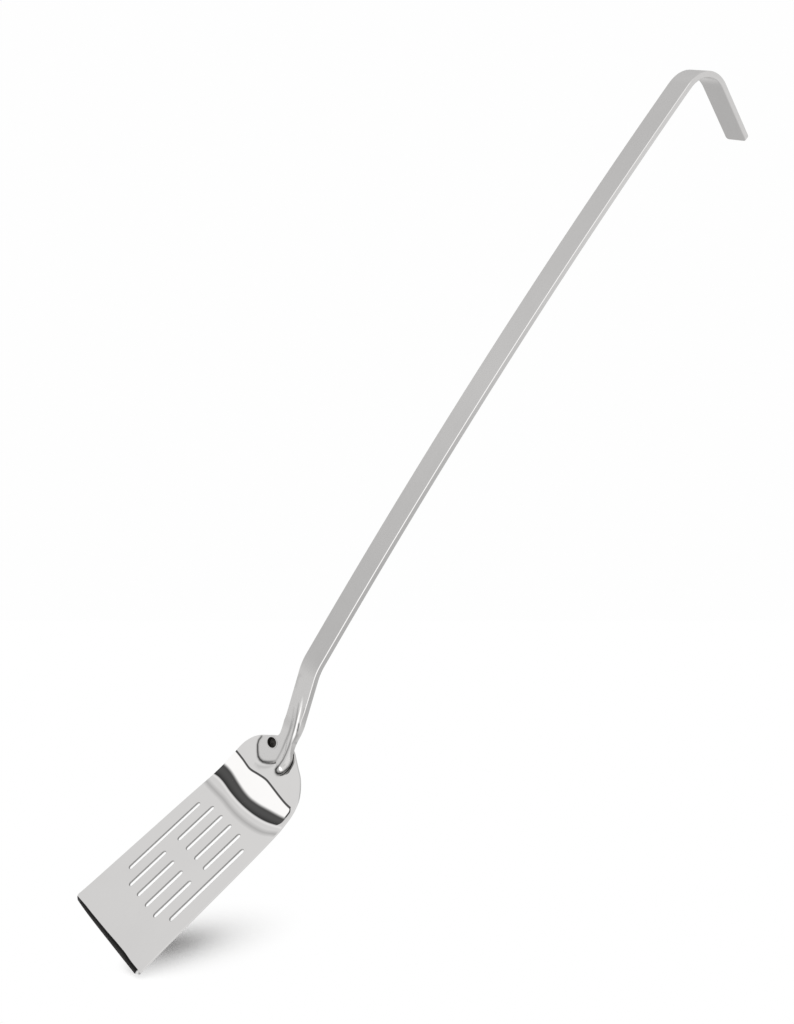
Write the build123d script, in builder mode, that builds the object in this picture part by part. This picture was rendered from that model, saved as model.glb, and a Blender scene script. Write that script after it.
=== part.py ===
from build123d import *

# Grill spatula (slotted turner) in stainless steel, millimetres: bent sheet blade,
# flat bar handle with a formed foot and a hook, and one tubular rivet.
#
# Frame: the underside of the blade lies on z = 0, +X runs from the blade's front
# edge towards the handle, +Z points up out of the blade's top face, and the origin
# is the middle of the blade's flat underside. The tool is symmetric about y = 0,
# apart from the formed foot, its ribs and the rivet.
import os
from math import cos, radians, sin, tan

CUT_PAST = 2.0           # how far a through cut starts and ends outside the metal

# ---------------------------------------------------------------- blade sheet
FRONT_X = -46.0          # front edge; blade lengths are measured from it
SHEET_T = 1.2
BLADE_FRONT_W = 76.2     # width over the front corners
FRONT_CORNER_R = 3.2     # front corner rounding in plan
BEVEL_RUN = 2.4          # bevel along the front edge, measured along X
BEVEL_LIP = 0.35         # height left standing at the very front
# distance from the front edge, half width; ends at the shoulders
SIDE_POINTS = [
    (0.0, BLADE_FRONT_W / 2), (10.0, 37.65), (46.0, 36.7), (83.0, 35.7),
    (100.0, 34.9), (110.0, 34.0), (116.0, 33.4), (118.8, 33.0),
]
SHOULDER_SLOPE = 0.08    # slope of the tang's outline where it meets the shoulders
FLAT_LEN = 97.0          # flat part of the blade
# behind it the sheet curves up in two arcs: radius of the top face, heading at the end
BEND_1_R, BEND_1_END = 50.0, radians(7.0)
BEND_2_R, BEND_2_END = 231.0, radians(11.0)
CREASE_R = 4.0           # inside radius of the crease behind the second arc
TANG_ANGLE = radians(24.5)   # tang above the blade plane
# distance along the tang from the crease, y of the +Y edge, y of the -Y edge
TANG_OUTLINE = [
    (4.0, 32.2, -32.5), (8.3, 30.4, -30.4), (11.9, 28.0, -27.6),
    (15.1, 25.1, -24.3), (16.9, 22.8, -21.4), (18.8, 19.9, -18.2),
    (21.3, 15.0, -14.2), (23.5, 10.8, -10.6), (25.4, 5.6, -5.6),
]
TANG_END = 26.3          # tip of the tang, along the tang
# the untrimmed sheet is oversize, and the trimming prism is taller than the blade
SHEET_SPARE_Y = 5.0
SHEET_SPARE_TANG = 4.0
TRIM_BOTTOM_Z = -5.0
TRIM_H = 60.0

# ---------------------------------------------------------------------- slots
SLOT_W = 2.6
SLOT_PITCH = 10.14       # column spacing across the blade
# start and end of each slot, from the front edge
LONG_SLOT = (32.2, 84.8)
REAR_SLOT = (62.3, 89.0)
FRONT_SLOT = (26.8, 53.1)
# columns in pitches from the middle, and the slots that each of them holds
SLOT_GROUPS = [
    ((-2.5, 2.5), (LONG_SLOT,)),
    ((-1.5, -0.5, 0.5, 1.5), (REAR_SLOT, FRONT_SLOT)),
]

# --------------------------------------------------------------------- handle
BAR_W = 15.5
BAR_T = 3.65
BAR_EDGE_R = 0.7         # rounding along the bar's long edges
FOOT_T = 1.9             # flattened foot on the tang
FOOT_LEN = 34.6          # crease to the lower bend's corner, along the tang
BAR_START = 21.0         # where the bar's full width starts, along the tang
NECK_ANGLE = radians(42.2)   # neck above the blade plane
NECK_LEN = 37.1          # lower bend to upper bend, corner to corner
LOWER_BEND_R = 30.0      # bend radii of the top side
UPPER_BEND_R = 31.6
# handle above the blade plane, at the neck and at the hook: the bar is slightly bowed
BOW_ANGLE_0 = radians(24.0)
BOW_ANGLE_1 = radians(17.5)
HANDLE_LEAD = 15.5       # upper bend's corner to the start of the bow
BOW_LEN = 389.6
BOW_R = BOW_LEN / (BOW_ANGLE_0 - BOW_ANGLE_1)
HOOK_R = 23.6            # outer radius of the hook bend
HOOK_END_ANGLE = BOW_ANGLE_1 - radians(93.7)
HOOK_LEG = 42.4          # straight end of the hook
HOOK_CORNER_R = 2.6      # rounded corners at its tip

# Plan of the foot (along the tang, across): from the bar's +Y edge round the lobe
# and the rib's nose to the bar's -Y edge.
FOOT_OUTLINE = [
    (FOOT_LEN, BAR_W / 2), (29.6, 7.9), (25.7, 9.2), (23.0, 12.0), (20.4, 15.4),
    (16.9, 17.3), (12.9, 16.9), (9.8, 13.2), (8.6, 8.4), (9.6, 3.6),
    (12.3, 0.0), (12.4, -3.0), (9.7, -6.0), (9.2, -9.4), (11.1, -12.4),
    (15.1, -13.7), (19.9, -13.2), (24.5, -11.2), (29.2, -9.0), (FOOT_LEN, -BAR_W / 2),
]
RIB_W = 6.0              # raised rib that runs off the neck onto the foot
RIB_H = 1.7              # its height above the foot
RIB_SINK = 0.6           # how deep the ribs start inside the metal
# middle of the rib on the foot (along the tang, across), nose first
RIB_LINE = [(12.9, -10.2), (17.5, -10.0), (22.5, -8.6), (28.5, -6.0), (35.0, -4.5)]
RIB_TANGENTS = [(1, 0.02), (1, 0.42)]
NECK_RIB_H = 0.8         # its height above the neck
NECK_RIB_LEN = 21.0
NECK_RIB_BACK = 2.0      # how far it starts before the end of the lower bend
NECK_RIB_Y = -4.0

# ---------------------------------------------------------------------- rivet
RIVET_AT = (19.9, 8.0)   # along the tang, across
RIVET_SHANK_R = 3.3
RIVET_CLEAR = 0.03       # radial clearance of its holes
RIVET_BORE_R = 2.7       # bore, open at the top
RIVET_BORE_DEPTH = 2.9   # below the head's rim
RIVET_MOUTH_ROUND = 0.35
RIVET_HEAD_R = 4.2       # rim on top of the foot
RIVET_HEAD_H = 0.4
RIVET_HEAD_ROUND = 0.3
RIVET_TAIL_R = 4.9       # flat head under the tang
RIVET_TAIL_H = 0.9
RIVET_TAIL_ROUND = 0.5
RIVET_HOLE_R = RIVET_SHANK_R + RIVET_CLEAR


# ---------------------------------------------------------- side-view geometry
# Side-view points are (x, z). A heading is an angle above +X, in radians.
def step(point, heading, run, drop=0.0):
    """Point reached by going run along the heading, then drop square below it."""
    x, z = point
    return (
        x + run * cos(heading) + drop * sin(heading),
        z + run * sin(heading) - drop * cos(heading),
    )


def arc(centre, drop, heading_0, heading_1):
    """Start, middle and end of an arc lying drop below its centre (above if negative)."""
    headings = (heading_0, (heading_0 + heading_1) / 2, heading_1)
    return [step(centre, heading, 0, drop) for heading in headings]


def bend(corner, heading_in, heading_out, radius):
    """Start, middle and end of the arc that rounds a corner."""
    turn = abs(heading_out - heading_in)
    reach = radius * tan(turn / 2)
    rise = radius / cos(turn / 2) - radius
    if heading_out < heading_in:
        rise = -rise
    return [
        step(corner, heading_in, -reach),
        step(corner, (heading_in + heading_out) / 2, 0, -rise),
        step(corner, heading_out, reach),
    ]


def under_corner(corner, heading_in, heading_out, drop_in, drop_out):
    """Corner of the underside, where the lines dropped from both sides of a corner meet."""
    x_in, z_in = step(corner, heading_in, 0, drop_in)
    x_out, z_out = step(corner, heading_out, 0, drop_out)
    across = (z_out - z_in) * cos(heading_out) - (x_out - x_in) * sin(heading_out)
    return step((x_in, z_in), heading_in, across / sin(heading_in - heading_out))


def top_plane(point, heading):
    """Plane on a top face: local x follows the heading, local y is the object's y."""
    return Plane(
        origin=(point[0], 0, point[1]),
        x_dir=(cos(heading), 0, sin(heading)),
        z_dir=(-sin(heading), 0, cos(heading)),
    )


def nearest(edges, point, count):
    """The edges whose centres lie nearest a side-view point on y = 0."""
    target = Vector(point[0], 0, point[1])
    return edges.sort_by(lambda e: (e.center() - target).length)[0:count]


def circles(builder, radius):
    """Circular edges of one radius, lowest first."""
    round_edges = builder.edges().filter_by(GeomType.CIRCLE)
    return round_edges.filter_by(lambda e: abs(e.radius - radius) < 0.01).sort_by(Axis.Z)


# The blade's two arcs lead up to the crease, which places everything on the tang.
FLAT_END = (FRONT_X + FLAT_LEN, SHEET_T)
BEND_1_CENTRE = step(FLAT_END, 0, 0, -BEND_1_R)
BEND_1_TOP = arc(BEND_1_CENTRE, BEND_1_R, 0, BEND_1_END)
BEND_2_CENTRE = step(BEND_1_TOP[2], BEND_1_END, 0, -BEND_2_R)
BEND_2_TOP = arc(BEND_2_CENTRE, BEND_2_R, BEND_1_END, BEND_2_END)
CREASE = BEND_2_TOP[2]
TANG_TOP = top_plane(CREASE, TANG_ANGLE)


def make_blade():
    bend_1_low = arc(BEND_1_CENTRE, BEND_1_R + SHEET_T, 0, BEND_1_END)
    bend_2_low = arc(BEND_2_CENTRE, BEND_2_R + SHEET_T, BEND_1_END, BEND_2_END)
    crease_low = under_corner(CREASE, BEND_2_END, TANG_ANGLE, SHEET_T, SHEET_T)
    sheet_end = TANG_END + SHEET_SPARE_TANG

    # plan outline, from the front edge back to the shoulders and round the tang
    plus_side = [(FRONT_X + x, y) for x, y in SIDE_POINTS]
    minus_side = [(FRONT_X + x, -y) for x, y in SIDE_POINTS]
    along = cos(TANG_ANGLE)
    plus_tang = [(CREASE[0] + t * along, y) for t, y, _ in TANG_OUTLINE]
    minus_tang = [(CREASE[0] + t * along, y) for t, _, y in TANG_OUTLINE]
    tang_tip = (CREASE[0] + TANG_END * along, 0)

    with BuildPart() as blade:
        # side view of the bent sheet
        with BuildSketch(Plane.XZ):
            with BuildLine():
                Line((FRONT_X, 0), bend_1_low[0])
                ThreePointArc(*bend_1_low)
                ThreePointArc(*bend_2_low)
                Polyline(
                    bend_2_low[2],
                    crease_low,
                    step(CREASE, TANG_ANGLE, sheet_end, SHEET_T),
                    step(CREASE, TANG_ANGLE, sheet_end),
                    CREASE,
                )
                ThreePointArc(*BEND_2_TOP[::-1])
                ThreePointArc(*BEND_1_TOP[::-1])
                Polyline(
                    BEND_1_TOP[0],
                    (FRONT_X + BEVEL_RUN, SHEET_T),
                    (FRONT_X, BEVEL_LIP),
                    (FRONT_X, 0),
                )
            make_face()
        extrude(amount=BLADE_FRONT_W / 2 + SHEET_SPARE_Y, both=True)
        # soften the crease on both faces
        for corner, radius in ((CREASE, CREASE_R), (crease_low, CREASE_R + SHEET_T)):
            fillet(nearest(blade.edges().filter_by(Axis.Y), corner, 1), radius)
        # trim to the plan outline
        with BuildSketch(Plane.XY.offset(TRIM_BOTTOM_Z)):
            with BuildLine():
                Polyline(*minus_side[::-1], *plus_side)
                Spline(
                    plus_side[-1], *plus_tang, tang_tip, *minus_tang[::-1], minus_side[-1],
                    tangents=[(1, -SHOULDER_SLOPE), (-1, -SHOULDER_SLOPE)],
                )
            make_face()
            fillet([v for v in vertices() if v.X < FRONT_X + 0.1], FRONT_CORNER_R)
        extrude(amount=TRIM_H, mode=Mode.INTERSECT)
        # slots
        with BuildSketch(Plane.XY.offset(-CUT_PAST)):
            for columns, slots in SLOT_GROUPS:
                for column in columns:
                    for slot_start, slot_end in slots:
                        middle = FRONT_X + (slot_start + slot_end) / 2
                        with Locations((middle, column * SLOT_PITCH)):
                            SlotOverall(slot_end - slot_start, SLOT_W)
        extrude(amount=SHEET_T + 2 * CUT_PAST, mode=Mode.SUBTRACT)
        # rivet hole
        with BuildSketch(TANG_TOP.offset(-SHEET_T - CUT_PAST)):
            with Locations(RIVET_AT):
                Circle(RIVET_HOLE_R)
        extrude(amount=SHEET_T + 2 * CUT_PAST, mode=Mode.SUBTRACT)
    return blade.part


def make_handle():
    # top side of the bar, from the foot to the hook
    bar_start = step(CREASE, TANG_ANGLE, BAR_START, -FOOT_T)
    lower = step(CREASE, TANG_ANGLE, FOOT_LEN, -FOOT_T)
    upper = step(lower, NECK_ANGLE, NECK_LEN)
    bow_start = step(upper, BOW_ANGLE_0, HANDLE_LEAD)
    bow_centre = step(bow_start, BOW_ANGLE_0, 0, BOW_R)
    lower_top = bend(lower, TANG_ANGLE, NECK_ANGLE, LOWER_BEND_R)
    upper_top = bend(upper, NECK_ANGLE, BOW_ANGLE_0, UPPER_BEND_R)
    bow_top = arc(bow_centre, -BOW_R, BOW_ANGLE_0, BOW_ANGLE_1)
    hook_centre = step(bow_top[2], BOW_ANGLE_1, 0, HOOK_R)
    hook_top = arc(hook_centre, -HOOK_R, BOW_ANGLE_1, HOOK_END_ANGLE)
    hook_tip = step(hook_top[2], HOOK_END_ANGLE, HOOK_LEG)

    # underside; the foot is thinner than the bar
    lower_under = under_corner(lower, TANG_ANGLE, NECK_ANGLE, FOOT_T, BAR_T)
    upper_under = under_corner(upper, NECK_ANGLE, BOW_ANGLE_0, BAR_T, BAR_T)
    lower_low = bend(lower_under, TANG_ANGLE, NECK_ANGLE, LOWER_BEND_R + BAR_T)
    upper_low = bend(upper_under, NECK_ANGLE, BOW_ANGLE_0, UPPER_BEND_R - BAR_T)
    bow_low = arc(bow_centre, BAR_T - BOW_R, BOW_ANGLE_0, BOW_ANGLE_1)
    hook_low = arc(hook_centre, BAR_T - HOOK_R, BOW_ANGLE_1, HOOK_END_ANGLE)

    neck_start = lower_top[2]
    neck_top = top_plane(neck_start, NECK_ANGLE)

    with BuildPart() as handle:
        # side view of the bar
        with BuildSketch(Plane.XZ):
            with BuildLine():
                Line(bar_start, lower_top[0])
                ThreePointArc(*lower_top)
                Line(lower_top[2], upper_top[0])
                ThreePointArc(*upper_top)
                Line(upper_top[2], bow_start)
                ThreePointArc(*bow_top)
                ThreePointArc(*hook_top)
                Polyline(
                    hook_top[2],
                    hook_tip,
                    step(hook_tip, HOOK_END_ANGLE, 0, BAR_T),
                    hook_low[2],
                )
                ThreePointArc(*hook_low[::-1])
                ThreePointArc(*bow_low[::-1])
                Line(bow_low[0], upper_low[2])
                ThreePointArc(*upper_low[::-1])
                Line(upper_low[0], lower_low[2])
                ThreePointArc(*lower_low[::-1])
                Polyline(lower_low[0], step(CREASE, TANG_ANGLE, BAR_START), bar_start)
            make_face()
        extrude(amount=BAR_W / 2, both=True)
        # round the two corners of the hook's tip
        thickness_edges = handle.edges().filter_by(lambda e: abs(e.length - BAR_T) < 0.01)
        fillet(nearest(thickness_edges, hook_tip, 2), HOOK_CORNER_R)
        # ease the long edges of the bar, from the neck onwards
        long_edges = handle.edges().filter_by(
            lambda e: abs(abs(e.center().Y) - BAR_W / 2) < 0.01
            and e.center().X > neck_start[0] - 1
        )
        fillet(long_edges, BAR_EDGE_R)
        # foot, flat on the tang
        with BuildSketch(TANG_TOP):
            with BuildLine():
                Spline(*FOOT_OUTLINE, tangents=[(-1, 0), (1, 0)])
                Line(FOOT_OUTLINE[-1], FOOT_OUTLINE[0])
            make_face()
        extrude(amount=FOOT_T)
        # rib on the foot, ending in a round nose
        with BuildSketch(TANG_TOP.offset(FOOT_T - RIB_SINK)):
            with BuildLine():
                Spline(*RIB_LINE, tangents=RIB_TANGENTS)
            trace(line_width=RIB_W)
            with Locations(RIB_LINE[0]):
                Circle(RIB_W / 2)
        extrude(amount=RIB_H + RIB_SINK)
        # the same rib, lower, up the neck
        with BuildSketch(neck_top.offset(-RIB_SINK)):
            with Locations((NECK_RIB_LEN / 2 - NECK_RIB_BACK, NECK_RIB_Y)):
                SlotOverall(NECK_RIB_LEN, RIB_W)
        extrude(amount=NECK_RIB_H + RIB_SINK)
        # rivet hole
        with BuildSketch(TANG_TOP.offset(-CUT_PAST)):
            with Locations(RIVET_AT):
                Circle(RIVET_HOLE_R)
        extrude(amount=FOOT_T + 2 * CUT_PAST, mode=Mode.SUBTRACT)
    return handle.part


def make_rivet():
    # bottom above the tang's top face, radius, height: tail, shank, head
    discs = [
        (-SHEET_T - RIVET_TAIL_H, RIVET_TAIL_R, RIVET_TAIL_H),
        (-SHEET_T, RIVET_SHANK_R, SHEET_T + FOOT_T),
        (FOOT_T, RIVET_HEAD_R, RIVET_HEAD_H),
    ]
    bore_bottom = FOOT_T + RIVET_HEAD_H - RIVET_BORE_DEPTH

    with BuildPart() as rivet:
        for bottom, radius, height in discs:
            with BuildSketch(TANG_TOP.offset(bottom)):
                with Locations(RIVET_AT):
                    Circle(radius)
            extrude(amount=height)
        fillet(circles(rivet, RIVET_HEAD_R)[-1], RIVET_HEAD_ROUND)
        fillet(circles(rivet, RIVET_TAIL_R)[0], RIVET_TAIL_ROUND)
        # bore, with a rounded mouth
        with BuildSketch(TANG_TOP.offset(bore_bottom)):
            with Locations(RIVET_AT):
                Circle(RIVET_BORE_R)
        extrude(amount=RIVET_BORE_DEPTH + CUT_PAST, mode=Mode.SUBTRACT)
        fillet(circles(rivet, RIVET_BORE_R)[-1], RIVET_MOUTH_ROUND)
    return rivet.part


os.makedirs("parts", exist_ok=True)
for name, make in (("blade", make_blade), ("handle", make_handle), ("rivet", make_rivet)):
    part = make()
    part.label = name
    export_step(part, f"parts/{name}.step")
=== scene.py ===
"""Slotted turner: a ground, slotted blade whose tang is riveted to a bent flat-bar handle.

The blade lies flat with its underside at z = 0 and its front edge near x = -46 mm; its width
runs along y. The tang and handle rise towards +x, and the handle ends in a hook turned down.
"""

import math

import bmesh
import bpy
import numpy as np
from mathutils import Matrix, Vector
from mathutils.geometry import delaunay_2d_cdt


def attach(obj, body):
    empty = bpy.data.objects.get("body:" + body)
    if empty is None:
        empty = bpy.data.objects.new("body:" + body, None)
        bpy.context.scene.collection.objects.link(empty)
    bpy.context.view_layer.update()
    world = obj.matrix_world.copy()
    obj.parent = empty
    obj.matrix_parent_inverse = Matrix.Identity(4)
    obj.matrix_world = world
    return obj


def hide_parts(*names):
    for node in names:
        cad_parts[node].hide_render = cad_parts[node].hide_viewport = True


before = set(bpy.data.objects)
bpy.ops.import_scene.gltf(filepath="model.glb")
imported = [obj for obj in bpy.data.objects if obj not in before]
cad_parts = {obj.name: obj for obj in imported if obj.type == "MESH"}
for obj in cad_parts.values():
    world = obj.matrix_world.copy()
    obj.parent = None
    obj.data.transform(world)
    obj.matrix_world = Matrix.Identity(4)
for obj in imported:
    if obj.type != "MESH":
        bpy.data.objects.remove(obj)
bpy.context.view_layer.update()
MM = 0.001

# ------------------------------------------------- dimensions (mm and degrees)
# "Flat" points are (distance along the piece before bending, y).
FRONT_X = -46.0
SHEET = 1.2                   # blade thickness
LIP = 0.35                    # thickness left at the ground front edge
CORNER_R = 3.2                # front corners, seen from above
SIDE = [                      # (distance from the front edge, half width)
    (0.0, 38.1), (10.0, 37.65), (46.0, 36.7), (83.0, 35.7),
    (100.0, 34.9), (110.0, 34.0), (117.0, 33.45), (120.0, 33.1),
]
FLAT_LENGTH = 97.0            # flat part of the blade
RISE_BENDS = [(50.0, 7.0), (231.0, 4.0)]    # (radius, degrees)
CREASE_R, CREASE_TURN = 4.0, 13.5
GENTLE = math.tan(math.radians(5.6))        # slope where the rise steepens
STEEP = math.tan(math.radians(8.6))         # slope where it eases
STRETCH_FROM = 94.0           # beyond this the sheet is stretched to meet the uneven crease
CREASE_EASE = 1.1             # half length over which the crease is rounded
# The bend is uneven across the blade: (y, rise starts, steepens, eases, crease)
WAVE = np.array([
    (-36.0, 105.0, 109.0, 113.6, 118.6), (-32.0, 102.8, 107.4, 112.6, 118.4),
    (-29.0, 100.6, 106.0, 111.6, 118.05), (-24.0, 98.9, 104.1, 110.55, 118.15),
    (-18.5, 97.7, 102.75, 109.45, 118.6), (-11.0, 96.6, 101.55, 107.85, 119.4),
    (-2.0, 96.1, 100.9, 106.75, 120.35), (6.0, 96.3, 100.9, 107.1, 119.4),
    (14.5, 96.9, 101.4, 108.3, 118.1), (24.0, 96.8, 102.55, 109.9, 119.5),
    (31.0, 96.8, 102.7, 110.3, 120.1), (36.0, 97.2, 101.6, 109.7, 120.5),
])
# The ground front edge runs askew: (y, edge, inner side of the bevel)
EDGE = np.array([
    (-40.0, 2.4, 5.1), (-36.0, 2.25, 4.9), (-28.0, 1.9, 4.5), (-20.0, 1.55, 4.6),
    (-10.0, 1.15, 4.05), (0.0, 0.75, 3.35), (10.0, 0.35, 2.8), (20.0, 0.03, 2.3),
    (28.0, -0.1, 2.0), (33.0, -0.1, 1.6), (40.0, -0.1, 1.2),
])
SLOT_WIDTH, SLOT_PITCH, SLOT_Y = 2.6, 10.14, -0.5
# (start, end) of the slots, from the front edge
LONG_SLOT, REAR_SLOT, FRONT_SLOT = (32.2, 84.8), (62.3, 89.0), (26.8, 53.1)
TANG = [                      # (distance from the crease's end, +Y side, -Y side)
    (3.5, 32.2, -32.6), (7.8, 30.4, -30.4), (11.4, 28.0, -27.6), (14.6, 25.1, -24.3),
    (16.4, 22.8, -21.4), (18.3, 19.9, -18.2), (20.8, 15.0, -14.2), (23.0, 10.8, -10.6),
    (24.9, 5.6, -5.6),
]
TANG_END = 25.8

BAR_WIDTH, BAR_THICK = 15.5, 3.65
BAR_EDGE_R = 0.7
FOOT_THICK = 1.9
HANDLE_START = 6.0            # where the handle's line starts on the tang
FOOT_END = 34.1               # distance along the tang where the bar leaves it
NECK_ANGLE, BOW_START_ANGLE, BOW_END_ANGLE = 42.2, 24.0, 17.5
LOWER_R, UPPER_R = 30.0, 31.6               # bends below and above the neck
NECK_LENGTH = 37.1            # corner to corner
UPPER_LENGTH = 15.5           # upper corner to the start of the bow
BOW_LENGTH = 389.6
HOOK_R, HOOK_TURN, HOOK_LEG = 23.6, 93.7, 43.1
TIP_R = 2.2                   # corners of the bar's end
FOOT = [                      # outline from the +Y side round the end to the -Y side
    (34.1, 7.75), (31.0, 6.9), (28.3, 6.05), (26.0, 5.7), (24.6, 6.5), (23.2, 9.3),
    (21.4, 12.7), (19.4, 15.9), (17.4, 18.0), (15.0, 18.8), (12.35, 17.8), (9.55, 14.95),
    (7.35, 12.05), (6.6, 9.1), (6.85, 5.75), (8.7, 1.8), (10.5, -0.85), (12.2, -2.9),
    (11.1, -4.7), (8.6, -5.8), (7.3, -7.4), (7.6, -10.1), (9.8, -12.1), (12.3, -13.4),
    (15.4, -13.9), (18.5, -13.5), (22.0, -11.5), (26.0, -9.5), (30.0, -8.3), (34.1, -7.75),
]
RIB = [                       # middle line of the rib, along the tang
    (12.4, -10.2), (17.0, -10.0), (22.0, -8.6), (28.0, -6.0), (36.0, -4.2), (48.0, -3.6),
    (58.0, -3.4),
]
RIB_WIDTH, RIB_HEIGHT = 6.0, 1.7
RIB_END = 60.0                # the bar's top is plain beyond this

RIVET_S, RIVET_Y = 19.3, 7.4  # along the tang, and y
HOLE_R = 3.0
RIVET_OVAL = 1.55             # the rivet has spread along y as it was set
TAIL_R, TAIL_H, TAIL_ROUND = 4.9, 0.9, 0.7
SHANK_R = 2.97
HEAD_R, HEAD_H, HEAD_FOOT, HEAD_ROUND = 3.28, 0.26, 0.1, 0.28
BORE_R, BORE_ROUND = 2.72, 0.24
RIVET_SIDES = 64

# Painted shade and highlight lines on the foot and the tang round it (dark outlines, creases
# and the shade beside the foot): spread, then stations of (distance along the handle, distance
# towards -Y, depth of tone). Negative tones are painted highlights.
SHADE_AND_HIGHLIGHT_LINES = [
    (0.85, [(11.7, -17.65, .85), (9.0, -18.2, .92), (6.65, -17.2, .94), (3.9, -14.5, .96),
            (1.75, -11.8, .97), (1.0, -9.05, .98), (1.25, -5.9, .95), (3.0, -2.0, .86),
            (4.7, 0.75, .74), (6.1, 2.6, .4)]),
    (0.75, [(6.3, 3.1, .25), (8.6, 3.2, .3), (11.7, 3.2, .3), (15.65, 2.7, .38),
            (19.6, 1.9, .42), (23.5, 1.1, .42), (27.4, 0.0, .34), (31.0, -0.9, .2),
            (38.0, -2.4, .1)]),
    (1.05, [(4.7, 6.7, .5), (3.2, 6.6, .9), (2.2, 7.7, .98), (2.1, 9.6, .98),
            (3.3, 11.6, .98), (5.0, 13.2, .97), (7.3, 14.3, .95), (9.4, 15.0, .9),
            (12.5, 14.9, .75), (14.0, 14.3, .3)]),
    (0.60, [(3.2, 6.6, .85), (7.0, 7.4, .75), (10.2, 7.85, .66), (14.1, 7.4, .64),
            (18.0, 6.6, .6), (21.1, 5.6, .6), (25.8, 4.2, .6), (31.3, 2.9, .5),
            (36.8, 1.9, .42), (42.3, 0.7, .25)]),
    (0.50, [(20.7, 7.8, .25), (25.8, 7.4, .5), (29.0, 6.6, .7)]),
    (0.75, [(28.8, 6.6, .7), (30.5, 6.4, .88), (32.4, 5.9, .75)]),
    (0.60, [(22.6, 10.6, .3), (22.9, 11.5, .45)]),
    (0.45, [(34.4, 7.6, .2), (38.0, 7.2, .3), (42.3, 6.6, .25)]),
    (0.42, [(47.0, 8.9, .2), (56.0, 9.0, .42), (61.0, 9.3, .45), (72.0, 9.4, .2)]),
    (0.70, [(3.9, 9.2, -.2), (4.2, 10.8, -.24), (5.6, 12.2, -.2)]),
    (0.50, [(7.5, 10.6, .22), (8.9, 11.3, .2)]),
    (0.75, [(24.0, 6.3, -.08), (33.0, 4.6, -.2), (40.0, 3.6, -.24), (46.0, 3.0, -.06)]),
    (0.60, [(18.0, 9.6, -.06), (24.0, 9.0, -.16), (33.0, 8.7, -.1)]),
    (1.10, [(50.0, -6.3, .10), (55.0, -6.6, .12), (57.5, -5.5, .12), (58.0, -3.5, .06)]),
    (0.50, [(-1.0, -11.0, -.06), (0.25, -5.0, -.1), (2.5, -1.0, -.1), (4.75, 2.0, -.06)]),
    (0.90, [(-3.0, -11.0, .16), (-2.25, -6.5, .2), (-0.5, -2.5, .2), (1.5, 0.5, .18),
            (4.0, 3.0, .1)]),
]
LINE_LEAN = (0.316, 1.02)     # shift of the lines, along and across, per mm of height

# Camera: its axes, its place in mm and its lens
RIGHT = Vector((0.712104006603496, -0.5990082502030308, -0.36619257224574003))
UP = Vector((0.634651837269303, 0.3261880632620302, 0.7005843224309721))
FORWARD = Vector((0.30020814317727357, 0.7312936917368217, -0.6124415132859502))
CAMERA_AT = (FRONT_X + 71.94186859323531, -482.2518429960048, SHEET + 490.0176230622067)
SENSOR, LENS = 24.0, 27.09887510968


# ---------------------------------------------------------------- plane geometry
def smooth(value):
    value = np.clip(value, 0.0, 1.0)
    return value * value * (3 - 2 * value)


def unit(vectors):
    return vectors / np.linalg.norm(vectors, axis=1)[:, None]


def arc_points(centre, radii, start, end, count):
    angle = np.linspace(start, end, count)
    return np.stack([centre[0] + radii[0] * np.cos(angle),
                     centre[1] + radii[1] * np.sin(angle)], 1)


def catmull(stations, step):
    """Smooth open curve through stations, about one sample per step."""
    stations = np.array(stations, float)
    extended = np.vstack([2 * stations[0] - stations[1], stations,
                          2 * stations[-1] - stations[-2]])

    def mix(first, second, from_knot, to_knot, at):
        span = to_knot - from_knot
        return (to_knot - at) / span * first + (at - from_knot) / span * second

    samples = []
    for i in range(len(stations) - 1):
        corners = extended[i:i + 4]
        knots = [0.0]
        for j in range(3):
            knots.append(knots[-1] + np.linalg.norm(corners[j + 1] - corners[j]) ** 0.5)
        count = max(2, int(round(np.linalg.norm(corners[2] - corners[1]) / step)))
        for j in range(count):
            at = knots[1] + j / count * (knots[2] - knots[1])
            sides = [mix(corners[k], corners[k + 1], knots[k], knots[k + 1], at)
                     for k in range(3)]
            halves = [mix(sides[k], sides[k + 1], knots[k], knots[k + 2], at)
                      for k in range(2)]
            samples.append(mix(*halves, knots[1], knots[2], at))
    samples.append(stations[-1])
    return np.array(samples)


def distances_along(line):
    return np.concatenate([[0], np.cumsum(np.linalg.norm(np.diff(line, axis=0), axis=1))])


def resample(line, step):
    """Even samples along an open line."""
    distance = distances_along(line)
    count = max(2, int(round(distance[-1] / step)) + 1)
    even = np.linspace(0, distance[-1], count)
    return np.stack([np.interp(even, distance, line[:, 0]),
                     np.interp(even, distance, line[:, 1])], 1)


def loop_normals(loop):
    """Unit normals pointing out of a counter-clockwise loop."""
    chord = np.roll(loop, -1, 0) - np.roll(loop, 1, 0)
    normal = np.stack([chord[:, 1], -chord[:, 0]], 1)
    return normal / np.maximum(np.linalg.norm(normal, axis=1), 1e-9)[:, None]


def inside(points, loop):
    """True for points inside the loop."""
    x, y = points[:, 0][:, None], points[:, 1][:, None]
    x0, y0 = loop[:, 0][None], loop[:, 1][None]
    x1, y1 = np.roll(loop[:, 0], -1)[None], np.roll(loop[:, 1], -1)[None]
    spans = (y0 > y) != (y1 > y)
    with np.errstate(divide="ignore", invalid="ignore"):
        crossing = (x1 - x0) * (y - y0) / (y1 - y0) + x0
    return (np.sum(spans & (x < crossing), 1) % 2) == 1


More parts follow.
